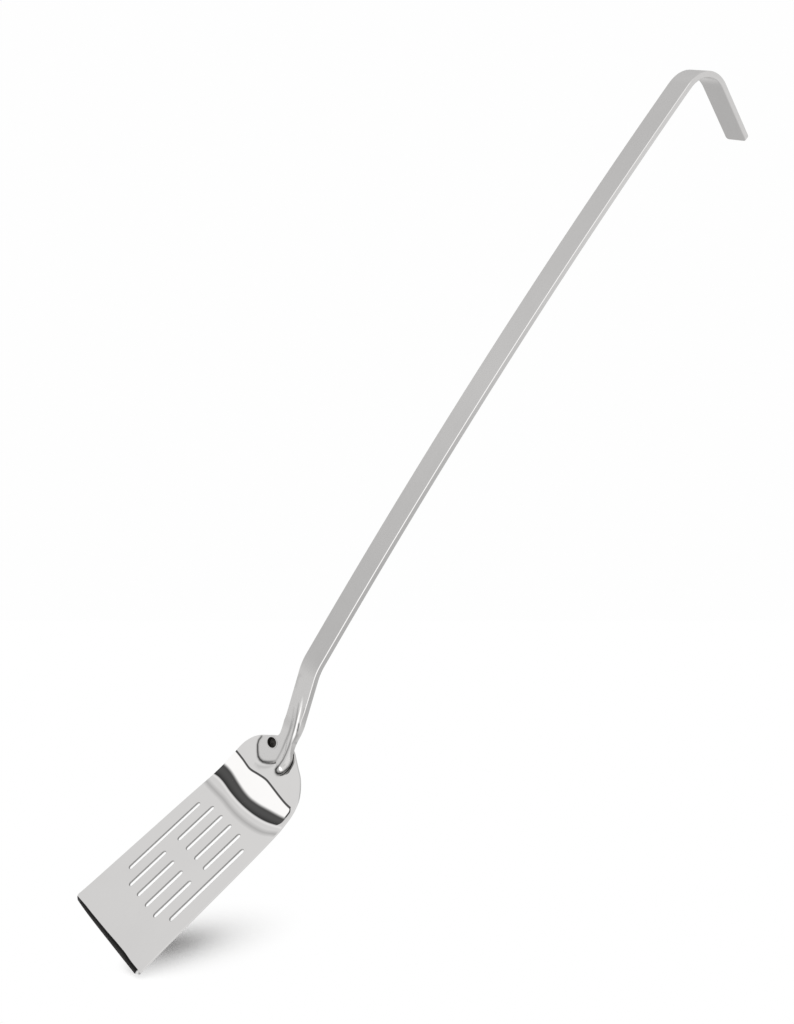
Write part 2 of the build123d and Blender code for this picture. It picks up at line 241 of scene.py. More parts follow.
def nearest(points, line):
    """For each point: distance to the line, nearest segment, share of it passed, and side."""
    start, run = line[:-1], line[1:] - line[:-1]
    length_squared = (run ** 2).sum(1) + 1e-12
    parts = []
    # in batches, to limit memory
    for i in range(0, len(points), 4000):
        batch = points[i:i + 4000]
        share = ((batch[:, None] - start[None]) * run[None]).sum(2) / length_squared
        share = np.clip(share, 0, 1)
        offset = batch[:, None] - (start[None] + share[..., None] * run[None])
        distance = np.linalg.norm(offset, axis=2)
        segment = np.argmin(distance, 1)
        row = np.arange(len(batch))
        gap = offset[row, segment]
        side = np.sign(run[segment, 0] * gap[:, 1] - run[segment, 1] * gap[:, 0])
        parts.append((distance[row, segment], segment, share[row, segment], side))
    return [np.concatenate(part) for part in zip(*parts)]


def away(points, loop, gap):
    """True for points farther than gap from the closed loop."""
    return nearest(points, np.vstack([loop, loop[:1]]))[0] > gap


def lattice(distances, across, stagger):
    """Grid of flat points, every other row shifted by stagger."""
    return np.array([(distance, y + (stagger if i % 2 else 0))
                     for i, distance in enumerate(distances) for y in across])


# ------------------------------------------------------------------ bent surfaces
class Route:
    """Side-view line made of straight and arc runs."""

    def __init__(self, x, z, angle):
        self.x, self.z, self.angle, self.length = x, z, angle, 0.0
        self.runs = []

    def line(self, length):
        self.runs.append((self.length, self.x, self.z, self.angle, 0.0))
        self.x += length * math.cos(self.angle)
        self.z += length * math.sin(self.angle)
        self.length += length

    def arc(self, radius, degrees):
        turn = math.radians(degrees)
        curve = math.copysign(1.0 / radius, turn)
        self.runs.append((self.length, self.x, self.z, self.angle, curve))
        end = self.angle + turn
        self.x += (math.sin(end) - math.sin(self.angle)) / curve
        self.z -= (math.cos(end) - math.cos(self.angle)) / curve
        self.angle = end
        self.length += abs(turn) * radius

    def at(self, points):
        """x, z, slope angle and sideways slope at flat points."""
        distance = points[:, 0]
        x, z, angle = (np.zeros_like(distance) for _ in range(3))
        starts = [run[0] for run in self.runs]
        index = np.maximum(np.searchsorted(starts, distance, side="right") - 1, 0)
        for i, (start, x0, z0, angle0, curve) in enumerate(self.runs):
            here = index == i
            along = distance[here] - start
            turned = angle0 + curve * along
            angle[here] = turned
            if curve == 0.0:
                x[here] = x0 + along * math.cos(angle0)
                z[here] = z0 + along * math.sin(angle0)
            else:
                x[here] = x0 + (np.sin(turned) - math.sin(angle0)) / curve
                z[here] = z0 - (np.cos(turned) - math.cos(angle0)) / curve
        return x, z, angle, np.zeros_like(x)


class BladeSurface:
    """Top face of the blade: flat, then a rise that wanders with y, then the flat tang.

    x and z are measured from the front edge and the flat top face.
    """

    def __init__(self, tang_angle, crease_x, crease_z):
        self.tang_slope, self.tang_cos = math.tan(tang_angle), math.cos(tang_angle)
        self.crease_x, self.crease_z = crease_x, crease_z
        self.y = np.linspace(-40, 40, 321)
        # the table's columns are smoothed over a few millimetres of y
        kernel = np.exp(-0.5 * (np.arange(-24, 25) / 8.0) ** 2)
        kernel = kernel / kernel.sum()
        self.curves = []
        for column in WAVE.T[1:]:
            values = np.pad(np.interp(self.y, WAVE[:, 0], column), 24, mode="edge")
            self.curves.append(np.convolve(values, kernel, mode="valid"))

    def curve(self, column, y):
        """x where the rise starts (0), steepens (1), eases (2) or meets the crease (3)."""
        return np.interp(y, self.y, self.curves[column])

    def crease_distance(self, y):
        return self.crease_x + (self.curve(3, y) - self.crease_x) / self.tang_cos

    def tang_height(self, x):
        return self.crease_z + (x - self.crease_x) * self.tang_slope

    def rise(self, x, y):
        """Height and slope at x in the rising part."""
        start, steepens, eases, crease = (self.curve(i, y) for i in range(4))
        steepens_z = 0.5 * GENTLE * (steepens - start)
        eases_z = steepens_z + 0.5 * (GENTLE + STEEP) * (eases - steepens)
        end_slope = 2 * (self.tang_height(crease) - eases_z) / (crease - eases) - STEEP
        height, slope = np.zeros_like(x), np.zeros_like(x)
        for low, high, low_z, low_slope, high_slope in (
            (start, steepens, 0.0, 0.0, GENTLE),
            (steepens, eases, steepens_z, GENTLE, STEEP),
            (eases, crease, eases_z, STEEP, end_slope),
        ):
            share = (x - low) / (high - low)
            gain = high_slope - low_slope
            climb = (low_slope * share + 0.5 * gain * share * share) * (high - low)
            height = np.where(x > low, low_z + climb, height)
            slope = np.where(x > low, low_slope + gain * share, slope)
        return height, slope

    def profile(self, distance, y):
        """x, z and slope angle, with the crease rounded."""
        crease, bend = self.curve(3, y), self.crease_distance(y)
        stretch = (crease - STRETCH_FROM) / (bend - STRETCH_FROM)
        stretched = STRETCH_FROM + (distance - STRETCH_FROM) * stretch
        x = np.where(distance < bend,
                     np.where(distance > STRETCH_FROM, stretched, distance),
                     self.crease_x + (distance - self.crease_x) * self.tang_cos)
        rise_z, rise_slope = self.rise(np.minimum(x, crease), y)
        z = np.where(x < crease, rise_z, self.tang_height(x))
        slope = np.where(x < crease, rise_slope, self.tang_slope)
        # quadratic blend between the slopes before and after the crease
        width = CREASE_EASE
        share = (x - crease + width) / (2 * width)
        start_z, start_slope = self.rise(crease - width, y)
        gain = self.tang_slope - start_slope
        blend = start_z + (start_slope * share + 0.5 * gain * share * share) * 2 * width
        end_z = start_z + (start_slope + 0.5 * gain) * 2 * width
        miss = self.tang_height(crease + width) - end_z
        near = np.abs(x - crease) < width
        z = np.where(near, blend + miss * smooth(share), z)
        slope = np.where(near, start_slope + gain * share, slope)
        return x, z, np.arctan(slope)

    def at(self, points):
        """x, z, slope angle and sideways slope at flat points."""
        distance, y = points[:, 0], points[:, 1]
        x, z, angle = self.profile(distance, y)
        step = 0.3
        before_x, before_z, _ = self.profile(distance, y - step)
        after_x, after_z, _ = self.profile(distance, y + step)
        slant = ((after_z - before_z) - np.tan(angle) * (after_x - before_x)) / (2 * step)
        return FRONT_X + x, SHEET + z, angle, slant


def frame_at(route, points):
    """Place, lengthwise direction and upward normal of the bent surface at flat points."""
    x, z, angle, slant = route.at(points)
    along = np.stack([np.cos(angle), np.zeros_like(angle), np.sin(angle)], 1)
    up = np.stack([-np.sin(angle), -slant * np.cos(angle), np.cos(angle)], 1)
    return np.stack([x, points[:, 1], z], 1), along, unit(up)


def place(route, points, height):
    origin, _, up = frame_at(route, points)
    return origin + up * height[:, None]


def face_normal(route, points, face, sign):
    """Normal of the top (+1) or under (-1) face at flat points."""
    step = 0.02
    slope_s = (face(points + [step, 0]) - face(points - [step, 0])) / (2 * step)
    slope_y = (face(points + [0, step]) - face(points - [0, step])) / (2 * step)
    _, along, up = frame_at(route, points)
    normal = up - along * slope_s[:, None]
    normal[:, 1] -= slope_y
    return unit(normal) * sign


# ------------------------------------------------------------------- mesh builder
def triangulate(loops, grid, crisp):
    """Flat points and triangles inside loops[0] and outside the others."""
    edges, first = [], 0
    for loop in loops:
        count = len(loop)
        edges += [(first + i, first + (i + 1) % count) for i in range(count)]
        first += count
    grid = grid[inside(grid, loops[0])]
    grid = grid[away(grid, loops[0], 0.22)]
    for hole in loops[1:]:
        grid = grid[~inside(grid, hole)]
        grid = grid[away(grid, hole, 0.25)]
    points = np.vstack([*loops, grid])
    if crisp is not None:
        first = len(points)
        points = np.vstack([points, crisp])
        edges += [(first + i, first + i + 1) for i in range(len(crisp) - 1)]
    result = delaunay_2d_cdt([Vector(point) for point in points], edges, [], 0, 1e-5)
    points = np.array([tuple(point) for point in result[0]])
    triangles = np.array([face for face in result[2] if len(face) == 3])
    centres = points[triangles].mean(1)
    keep = inside(centres, loops[0])
    for hole in loops[1:]:
        keep &= ~inside(centres, hole)
    triangles = triangles[keep]
    corners = points[triangles]
    area = np.cross(corners[:, 1] - corners[:, 0], corners[:, 2] - corners[:, 0])
    triangles[area < 0] = triangles[area < 0][:, ::-1]
    return points, triangles[np.abs(area) > 1e-9]


def weld(vertices):
    """Kept vertex indices, and the new index of every vertex.

    Points are matched on a micron grid, tried at four offsets so that no pair is missed
    by falling either side of a grid line.
    """
    match = np.arange(len(vertices))
    for offset in (0.137, 0.637, 0.387, 0.887):
        cells = {}
        places = np.round(vertices[match] * 1e6 + offset).astype(np.int64)
        for i, cell in enumerate(places):
            match[i] = cells.setdefault(tuple(cell), match[i])
    return np.unique(match, return_inverse=True)


def missing_slivers(faces):
    """Three-cornered gaps, each with the face corners beside it.

    Where three edge points lie almost in line the triangulation can lose a sliver.
    """
    corner_of = {}
    first = 0
    for face in faces:
        for i in range(len(face)):
            corner_of[(face[i], face[(i + 1) % len(face)])] = first + i
        first += len(face)
    ahead = {b: (a, corner) for (a, b), corner in corner_of.items()
             if (b, a) not in corner_of}
    slivers = []
    for a in sorted(ahead):
        b = ahead[a][0]
        c = ahead[b][0] if b in ahead else -1
        if c in ahead and ahead[c][0] == a and a == min(a, b, c):
            slivers.append(((a, b, c), [ahead[i][1] for i in (a, b, c)]))
    return slivers


def add_object(name, data):
    made = bpy.data.objects.new(name, data)
    bpy.context.scene.collection.objects.link(made)
    return made


def strip(name, route, loops, grid, top, under, edge_radius, tone, arcs,
          crisp=None, zones=None, wall_material=0):
    """A sheet or bar bent along route.

    loops: counter-clockwise flat outline, then the holes. grid: flat points inside it.
    top, under: heights of the two faces above the route. edge_radius: rounding of the edges,
    in arcs steps. crisp: flat line kept as edges. zones: masks of the ground and the level
    triangles from their centres. wall_material: slot of the hole walls.
    """
    # rounded edges: rows of (places, normals, tones) from the top face to the under face
    edges, inner_loops = [], []
    quarter = [math.pi / 2 * j / arcs for j in range(arcs + 1)]
    for k, loop in enumerate(loops):
        outward = loop_normals(loop) * (-1.0 if k else 1.0)
        radius = np.minimum(edge_radius(loop), 0.46 * (top(loop) - under(loop)))
        inner = loop - outward * radius[:, None]
        inner_loops.append(inner)
        side = frame_at(route, loop)[1] * outward[:, :1]
        side[:, 1] += outward[:, 1]
        rows = []
        for face, sign, angles in ((top, 1, quarter), (under, -1, quarter[::-1])):
            normal = face_normal(route, inner, face, sign)
            for angle in angles:
                points = loop - outward * (radius * (1 - math.sin(angle)))[:, None]
                height = face(inner) - sign * radius * (1 - math.cos(angle))
                rows.append((place(route, points, height),
                             unit(normal * math.cos(angle) + side * math.sin(angle)),
                             tone(points, height)))
        edges.append(rows)

    points, triangles = triangulate(inner_loops, grid, crisp)
    corners = points[triangles]
    if zones is None:
        ground = np.zeros(len(triangles), bool)
        top_normals = face_normal(route, points, top, 1)[triangles]
    else:
        # corners are nudged towards the middle so that a crisp line keeps two normals
        centres = corners.mean(1)
        ground, level = zones(centres)
        nudge = np.where(ground, 0.35, 0.02)[:, None, None]
        nudged = corners + (centres[:, None] - corners) * nudge
        top_normals = face_normal(route, nudged.reshape(-1, 2), top, 1).reshape(-1, 3, 3)
        top_normals[level] = (0.0, 0.0, 1.0)

    flipped = triangles[:, ::-1]
    under_normals = face_normal(route, points, under, -1)[flipped]
    vertices = [place(route, points, top(points)), place(route, points, under(points))]
    tones = [tone(points, top(points)), np.ones(len(points))]
    faces = [tuple(face) for face in np.vstack([triangles, flipped + len(points)])]
    normals = [*top_normals.reshape(-1, 3), *under_normals.reshape(-1, 3)]
    uvs = [*corners.reshape(-1, 2), *points[flipped].reshape(-1, 2)]
    materials = [int(flag) for flag in ground] + [0] * len(triangles)
    first = 2 * len(points)
    for k, (loop, rows) in enumerate(zip(loops, edges)):
        count = len(loop)
        vertices += [row[0] for row in rows]
        tones += [row[2] for row in rows]
        for j in range(len(rows) - 1):
            for i in range(count):
                after = (i + 1) % count
                quad = [(j, i), (j + 1, i), (j + 1, after), (j, after)]
                if k:
                    quad.reverse()
                faces.append(tuple(first + row * count + column for row, column in quad))
                for row, column in quad:
                    normals.append(rows[row][1][column])
                    uvs.append((loop[column, 0], loop[column, 1] + row * 0.3))
                materials.append(wall_material if k else 0)
        first += len(rows) * count

    vertices = np.vstack(vertices) * MM
    normals = unit(np.array(normals))
    kept, welded = weld(vertices)
    vertices = vertices[kept]
    faces = [tuple(int(welded[i]) for i in face) for face in faces]
    for face, beside in missing_slivers(faces):
        faces.append(face)
        materials.append(0)
        normals = np.vstack([normals, normals[beside]])
        uvs += [tuple(vertices[i][:2] / MM) for i in face]

    mesh = bpy.data.meshes.new(name)
    mesh.from_pydata(vertices.tolist(), [], faces)
    layer = mesh.uv_layers.new(name="flat")
    layer.data.foreach_set("uv", (np.array(uvs) * MM).reshape(-1).astype(np.float32))
    mesh.polygons.foreach_set("material_index", materials)
    mesh.polygons.foreach_set("use_smooth", [True] * len(faces))
    mesh.normals_split_custom_set([tuple(normal) for normal in normals])
    attribute = mesh.attributes.new("tone", "FLOAT", "POINT")
    attribute.data.foreach_set("value", np.concatenate(tones)[kept].astype(np.float32))
    return add_object(name, mesh)


def register(made, piece):
    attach(made, "root")
    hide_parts(piece)


# ------------------------------------------------------------- lie of the tang
blade_line = Route(FRONT_X, SHEET, 0.0)
blade_line.line(FLAT_LENGTH)
for bend_radius, bend_turn in RISE_BENDS:
    blade_line.arc(bend_radius, bend_turn)
blade_line.arc(CREASE_R, CREASE_TURN)
TANG_X, TANG_Z, TANG_ANGLE = blade_line.x, blade_line.z, blade_line.angle
TANG_COS, TANG_SIN = math.cos(TANG_ANGLE), math.sin(TANG_ANGLE)
CREASE_REACH = CREASE_R * math.tan(math.radians(CREASE_TURN) / 2)
CREASE_X = TANG_X - FRONT_X - CREASE_REACH * TANG_COS
CREASE_Z = TANG_Z - SHEET - CREASE_REACH * TANG_SIN
TANG_START = CREASE_X + CREASE_REACH        # flat distance where the tang begins
surface = BladeSurface(TANG_ANGLE, CREASE_X, CREASE_Z)


# ------------------------------------------------------------------ painted shade and highlight tone
def painted_line_tone(along, y, height):
    """Tone of the painted shade and highlight lines, as a factor on the colour."""
    spots = np.stack([along - LINE_LEAN[0] * height, -y - LINE_LEAN[1] * height], 1)
    tone = np.ones(len(spots))
    for spread, stations in SHADE_AND_HIGHLIGHT_LINES:
        stations = np.array(stations)
        line, depths = stations[:, :2], stations[:, 2]
        reach = 3 * spread
        near = ((spots > line.min(0) - reach) & (spots < line.max(0) + reach)).all(1)
        if not near.any():
            continue
        distance, segment, share, _ = nearest(spots[near], line)
        depth = depths[segment] + share * np.diff(depths)[segment]
        tone[near] *= 1 - depth * np.exp(-(distance / spread) ** 2)
    return np.clip(tone, 0.02, 1.25)


# ------------------------------------------------------------------------ blade
def edge_at(y):
    return np.interp(y, EDGE[:, 0], EDGE[:, 1])


def bevel_end(y):
    return np.interp(y, EDGE[:, 0], EDGE[:, 2])


def bevel_share(points):
    """0 at the ground edge, 1 at the inner side of the bevel; not clipped."""
    edge = edge_at(points[:, 1])
    return (points[:, 0] - edge) / (bevel_end(points[:, 1]) - edge)


def blade_top(points):
    return -(SHEET - LIP) * np.clip(1 - bevel_share(points), 0, 1)


def blade_under(points):
    return np.full(len(points), -SHEET)


def blade_edge_radius(points):
    return np.where(points[:, 0] < edge_at(points[:, 1]) + 0.05, 0.1, 0.24)


def blade_painted_tone(points, height):
    """Painted shade and highlight lines on the tang; painted shade on the bevel, darkening
    from its edge inwards.
    """
    tone = np.ones(len(points))
    tang = points[:, 0] > TANG_START + 0.5
    tone[tang] = painted_line_tone(points[tang, 0] - TANG_START - HANDLE_START, points[tang, 1],
                           height[tang] - FOOT_THICK)
    share = np.clip(bevel_share(points), 0, 1)
    bevel = (points[:, 0] < 6.0) & (share < 0.96)
    tone[bevel] = 1.5 - 1.1 * smooth(share[bevel] * 1.15)
    return tone


def blade_zones(centres):
    """Triangles of the ground bevel, and the level ones just behind it."""
    distance, y = centres.T
    end = bevel_end(y)
    ground = (distance < end) & (y > -35.4) & (y < 32.6)
    return ground, ~ground & (distance < 12.0) & (distance > end - 0.05)


def blade_side(sign):
    """One side of the outline (+1 for +Y): round the front corner and on to the tang's end."""
    column = 1 if sign > 0 else 2
    stations = [(distance, sign * half) for distance, half in SIDE]
    stations += [(TANG_START + row[0], row[column]) for row in TANG]
    stations.append((TANG_START + TANG_END, 0.0))
    side = resample(catmull(stations, 1.0), 1.0)
    corner = arc_points((CORNER_R, side[0, 1] - sign * CORNER_R), (CORNER_R, CORNER_R),
                        math.pi, math.pi - sign * math.pi / 2, 12)
    return np.vstack([corner, side[side[:, 0] > CORNER_R + 0.4]])


def blade_outline():
    plus, minus = blade_side(1), blade_side(-1)
    front = np.stack([np.zeros(60), np.linspace(minus[0, 1], plus[0, 1], 60)], 1)
    outline = np.vstack([minus[:-1], plus[-1:], plus[1:-1][::-1], front[1:-1][::-1]])
    skew = edge_at(outline[:, 1]) * np.clip(1 - outline[:, 0] / 14.0, 0, 1)
    outline[:, 0] += skew
    return outline


def slot_loop(span, y):
    radius = SLOT_WIDTH / 2
    start, end = span[0] + radius, span[1] - radius
    count = max(2, int((span[1] - span[0] - 2 * radius) / 2.0))
    half = math.pi / 2
    back = np.linspace(end, start, count + 1)[1:-1]
    forth = np.linspace(start, end, count + 1)[1:-1]
    return np.vstack([
        arc_points((end, y), (radius, radius), -half, half, 9),
        np.stack([back, np.full(count - 1, y + radius)], 1),
        arc_points((start, y), (radius, radius), half, 3 * half, 9),
        np.stack([forth, np.full(count - 1, y - radius)], 1),
    ])


def slot_loops():
    layout = [(column, LONG_SLOT) for column in (-2.5, 2.5)]
    layout += [(column, span) for column in (-1.5, -0.5, 0.5, 1.5)
               for span in (REAR_SLOT, FRONT_SLOT)]
    return [slot_loop(span, column * SLOT_PITCH + SLOT_Y) for column, span in layout]


def rivet_hole(distance):
    radii = (HOLE_R, HOLE_R * RIVET_OVAL)
    return arc_points((distance, RIVET_Y), radii, 0, 2 * math.pi, 49)[:-1]


def blade_grid():
    distances = np.concatenate([np.arange(0.8, 93.5, 2.2),
                                np.arange(TANG_START + 3.0, TANG_START + 27, 1.1)])
    grid = lattice(distances, np.arange(-40, 40.01, 2.0), 0.5)
    grid = grid[grid[:, 0] - bevel_end(grid[:, 1]) > 0.35]
    # rows that follow the wandering crease, finest across it
    y = np.arange(-35, 35.01, 1.0)
    crease = surface.crease_distance(y)
    start, half = 93.8, 1.35
    rows = [start + (crease - half - start) * share for share in np.linspace(0, 1, 37)[:-1]]
    rows += [crease + offset for offset in np.arange(-half, half + 0.01, 0.225)]
    rows.append(crease + 2.05)
    # rows along the bevel
    edge = edge_at(y)
    rows += [edge + (bevel_end(y) - edge) * share for share in (0.2, 0.4, 0.6, 0.8)]
    grid = np.vstack([grid] + [np.stack([row, y], 1) for row in rows])
    # rings beside the handle's foot replace the grid near it
    foot = resample(catmull(FOOT, 0.6), 0.5)
    outward = loop_normals(foot)[3:-3]
    rings = np.vstack([foot[3:-3] + outward * offset
                       for offset in (-0.5, 0.0, 0.45, 0.9, 1.35, 1.8, 2.3, 2.9, 3.6)])
    rings = rings + [TANG_START, 0]
    rings = rings[rings[:, 0] < TANG_START + 24]
    clear = (grid[:, 0] < TANG_START + 3.5) | away(grid, foot + [TANG_START, 0], 2.2)
    return np.vstack([grid[clear], rings])


def build_blade():
    crisp_y = np.linspace(-37.55, 37.45, 50)
    blade = strip(
        "blade_shell", surface,
        loops=[blade_outline()] + slot_loops() + [rivet_hole(TANG_START + RIVET_S)],
        grid=blade_grid(), top=blade_top, under=blade_under,
        edge_radius=blade_edge_radius, tone=blade_painted_tone, arcs=3,
        crisp=np.stack([bevel_end(crisp_y), crisp_y], 1),
        zones=blade_zones, wall_material=2,
    )
    register(blade, "blade")
    return blade


# ----------------------------------------------------------------------- handle
# The handle's own flat distance starts HANDLE_START up the tang.
RIB_LINE = catmull(RIB, 0.8) - [HANDLE_START, 0]
RIB_DISTANCE = distances_along(RIB_LINE)


def hollow(offset, width, start, grow, end, fade, distance):
    """Gaussian valley across the rib that grows in from start and fades out from end."""
    depth = np.exp(-((offset / width) ** 2))
    return depth * smooth((distance - start) / grow) * (1 - smooth((distance - end) / fade))


def handle_top(points):
    """Rib with a round nose on the foot, fading up the neck, with valleys beside it."""
    height = np.zeros(len(points))
    ribbed = points[:, 0] < RIB_END
    near = points[ribbed]
    gap, segment, share, side = nearest(near, RIB_LINE)
    across = side * gap
    along = RIB_DISTANCE[segment] + share * np.diff(RIB_DISTANCE)[segment]
    fade = 1 - smooth((along - 14.0) / 32.0)
    half = RIB_WIDTH / 2 + 0.04 * along
    section = (1 - np.clip(gap / half, 0, 1) ** 2.6) ** 1.1
    rib = RIB_HEIGHT * (0.55 + 0.45 * fade) * fade * section
    plus_valley = hollow(across - half * 1.25, width=1.5, start=6, grow=10,
                         end=24, fade=18, distance=along)
    minus_valley = hollow(across + half * 1.1, width=1.1, start=8, grow=8,
                          end=20, fade=14, distance=along)
    crown_groove = hollow(across - 0.7, width=0.55, start=12, grow=8,
                          end=30, fade=12, distance=along)
    base = rib - 0.35 * plus_valley - 0.3 * minus_valley - 0.28 * crown_groove
    # the painted dark lines are also cut as shallow grooves
    groove = 1 - np.minimum(painted_line_tone(near[:, 0], near[:, 1], base), 1.0)
    height[ribbed] = base - 0.20 * groove
    return height


def handle_under(points):
    thicker = smooth((points[:, 0] + HANDLE_START - 22.0) / 14.0)
    return -(FOOT_THICK + (BAR_THICK - FOOT_THICK) * thicker)


def handle_edge_radius(points):
    radius = BAR_EDGE_R * (0.75 + 0.25 * smooth((points[:, 0] - 22) / 14))
    along = (points[:, 0] - RIVET_S + HANDLE_START) / HOLE_R
    across = (points[:, 1] - RIVET_Y) / (HOLE_R * RIVET_OVAL)
    return np.where(along ** 2 + across ** 2 < 1.15, 0.12, radius)


def handle_painted_tone(points, height):
    # painted shade and highlight lines on the foot and up the neck
    tone = np.ones(len(points))
    lined = points[:, 0] < 80
    tone[lined] = painted_line_tone(points[lined, 0], points[lined, 1], height[lined])
    return tone


def handle_route():
    """The handle's line, and the distances where the bow, the hook and the end come."""
    route = Route(TANG_X + HANDLE_START * TANG_COS - FOOT_THICK * TANG_SIN,
                  TANG_Z + HANDLE_START * TANG_SIN + FOOT_THICK * TANG_COS, TANG_ANGLE)
    lower_turn = NECK_ANGLE - math.degrees(TANG_ANGLE)
    upper_turn = NECK_ANGLE - BOW_START_ANGLE
    lower_reach = LOWER_R * math.tan(math.radians(lower_turn) / 2)
    upper_reach = UPPER_R * math.tan(math.radians(upper_turn) / 2)
    route.line(FOOT_END - HANDLE_START - lower_reach)
    route.arc(LOWER_R, lower_turn)
    route.line(NECK_LENGTH - lower_reach - upper_reach)
    route.arc(UPPER_R, -upper_turn)
    route.line(UPPER_LENGTH - upper_reach)
    bow = route.length
    route.arc(BOW_LENGTH / math.radians(BOW_START_ANGLE - BOW_END_ANGLE),
              BOW_END_ANGLE - BOW_START_ANGLE)
    hook = route.length
    route.arc(HOOK_R, -HOOK_TURN)
    route.line(HOOK_LEG)
    return route, bow, hook, route.length


def handle_outline(bow, hook, end):
    foot = resample(catmull(FOOT, 0.6), 0.6)
    foot[:, 0] -= HANDLE_START
    foot_end, half = FOOT_END - HANDLE_START, BAR_WIDTH / 2
    side = np.concatenate([np.linspace(foot_end, bow, 60)[1:],
                           np.linspace(bow, hook, 120)[1:],
                           np.linspace(hook, end - TIP_R, 60)[1:]])[:-1]
    plus_side = np.stack([side, np.full(len(side), half)], 1)
    tip_y = half - TIP_R
    radii = (TIP_R, TIP_R)
    outline = np.vstack([
        foot[::-1][:-1],
        [[foot_end, half]],
        plus_side,
        arc_points((end - TIP_R, tip_y), radii, math.pi / 2, 0, 9),
        np.stack([np.full(7, end), np.linspace(tip_y, -half + TIP_R, 9)[1:-1]], 1),
        arc_points((end - TIP_R, -half + TIP_R), radii, 0, -math.pi / 2, 9),
        plus_side[::-1] * [1, -1],
    ])[::-1]
    # drop points that coincide with the one before
    return outline[np.linalg.norm(outline - np.roll(outline, 1, 0), axis=1) > 0.05]


def build_handle():
    route, bow, hook, end = handle_route()
    fine = lattice(np.arange(0.5, 58, 0.42), np.arange(-18.6, 18.61, 0.42), 0.15)
    across = np.linspace(-BAR_WIDTH / 2 + 1.4, BAR_WIDTH / 2 - 1.4, 7)
    distances = np.concatenate([np.arange(58.5, hook, 2.5), np.arange(hook, end, 0.8)])
    handle = strip(
        "handle_bar", route,
        loops=[handle_outline(bow, hook, end), rivet_hole(RIVET_S - HANDLE_START)],
        grid=np.vstack([fine, lattice(distances, across, 0)]),
        top=handle_top, under=handle_under,
        edge_radius=handle_edge_radius, tone=handle_painted_tone, arcs=5,
    )
    register(handle, "handle")
    return handle


# ------------------------------------------------------------------------ rivet
def rivet_profile():
    """(radius, height above the tang) from the tail's centre round to the bore's floor."""
    tail_bottom, head_top, half = -SHEET - TAIL_H, FOOT_THICK + HEAD_H, math.pi / 2
    return np.vstack([
        [(0.0, tail_bottom), (TAIL_R - TAIL_ROUND, tail_bottom)],
        arc_points((TAIL_R - TAIL_ROUND, tail_bottom + TAIL_ROUND),
                   (TAIL_ROUND, TAIL_ROUND), 0.2 - half, 0, 6),
        [(TAIL_R, -SHEET - 0.02), (SHANK_R, -SHEET - 0.015),
         (SHANK_R, FOOT_THICK + 0.01), (HEAD_R - 0.1, FOOT_THICK + 0.015)],
        arc_points((HEAD_R - HEAD_ROUND, FOOT_THICK + HEAD_FOOT),
                   (HEAD_ROUND, HEAD_H - HEAD_FOOT), 0, half, 6),
        arc_points((BORE_R + BORE_ROUND, head_top - BORE_ROUND),
                   (BORE_ROUND, BORE_ROUND), half, 2 * half, 6),
        [(BORE_R, head_top - 2.7), (BORE_R - 0.25, head_top - 2.95), (0.0, head_top - 3.0)],
    ])


def build_rivet():
    centre = Vector((TANG_X + RIVET_S * TANG_COS, RIVET_Y, TANG_Z + RIVET_S * TANG_SIN))
    normal = Vector((-TANG_SIN, 0, TANG_COS))
    along = Vector((TANG_COS, 0, TANG_SIN))
    across = Vector((0, 1, 0))
    profile = rivet_profile()
    points, faces = [], []
    for radius, height in profile[1:-1]:
        # the tail is round, the shank and head are oval
        oval = RIVET_OVAL if height > -SHEET - 0.018 else 1.0
        for i in range(RIVET_SIDES):
            angle = 2 * math.pi * i / RIVET_SIDES
            points.append(centre + normal * height + along * (radius * math.cos(angle))
                          + across * (radius * math.sin(angle) * oval))
    last = (len(profile) - 3) * RIVET_SIDES
    for first in range(0, last, RIVET_SIDES):
        following = first + RIVET_SIDES
        for i in range(RIVET_SIDES):
            after = (i + 1) % RIVET_SIDES
            faces.append((first + i, first + after, following + after, following + i))
    tail_centre = len(points)
    points.append(centre + normal * profile[0][1])
    points.append(centre + normal * profile[-1][1])
    for i in range(RIVET_SIDES):
        after = (i + 1) % RIVET_SIDES
        faces.append((tail_centre, after, i))
        faces.append((tail_centre + 1, last + i, last + after))

    mesh = bpy.data.meshes.new("rivet_body")
    mesh.from_pydata([tuple(point * MM) for point in points], [], faces)
    mesh.uv_layers.new(name="flat")
    rivet = add_object("rivet_body", mesh)
    work = bmesh.new()
    work.from_mesh(mesh)
    bmesh.ops.recalc_face_normals(work, faces=work.faces)
    layer = work.loops.layers.uv[0]
    for face in work.faces:
        face.smooth = True
        middle = face.calc_center_median() / MM - centre
        radius = math.hypot(middle.dot(along), middle.dot(across) / RIVET_OVAL)
        # faces inside the bore take the near-black painted shade material
        if radius < BORE_R + 0.02 and middle.dot(normal) > -0.95:
            face.material_index = 1
        for corner in face.loops:
            spot = corner.vert.co / MM - centre
            corner[layer].uv = (spot.dot(along) * MM, spot.dot(across) * MM)
    for edge in work.edges:
        if edge.calc_face_angle(0) > math.radians(35):
            edge.smooth = False
    work.to_mesh(mesh)
    work.free()
    register(rivet, "rivet")
    return rivet


# ---------------------------------------------------------------- shader helpers
class Signal:
    """An output of a shader node; arithmetic on it adds math nodes."""

    def __init__(self, shader, socket):
        self.shader, self.socket = shader, socket

    def __getitem__(self, output):
        """Another output of the same node."""
        return Signal(self.shader, self.socket.node.outputs[output])

    def __add__(self, other):
        return calculate("ADD", self, other)

    def __sub__(self, other):
        return calculate("SUBTRACT", self, other)

    def __rsub__(self, other):
        return calculate("SUBTRACT", other, self)

    def __mul__(self, other):
        return calculate("MULTIPLY", self, other)

    def __truediv__(self, other):
        return calculate("DIVIDE", self, other)

    def __pow__(self, other):
        return calculate("POWER", self, other)

    def __neg__(self):
        return calculate("MULTIPLY", self, -1.0)

    def __abs__(self):
        return calculate("ABSOLUTE", self)


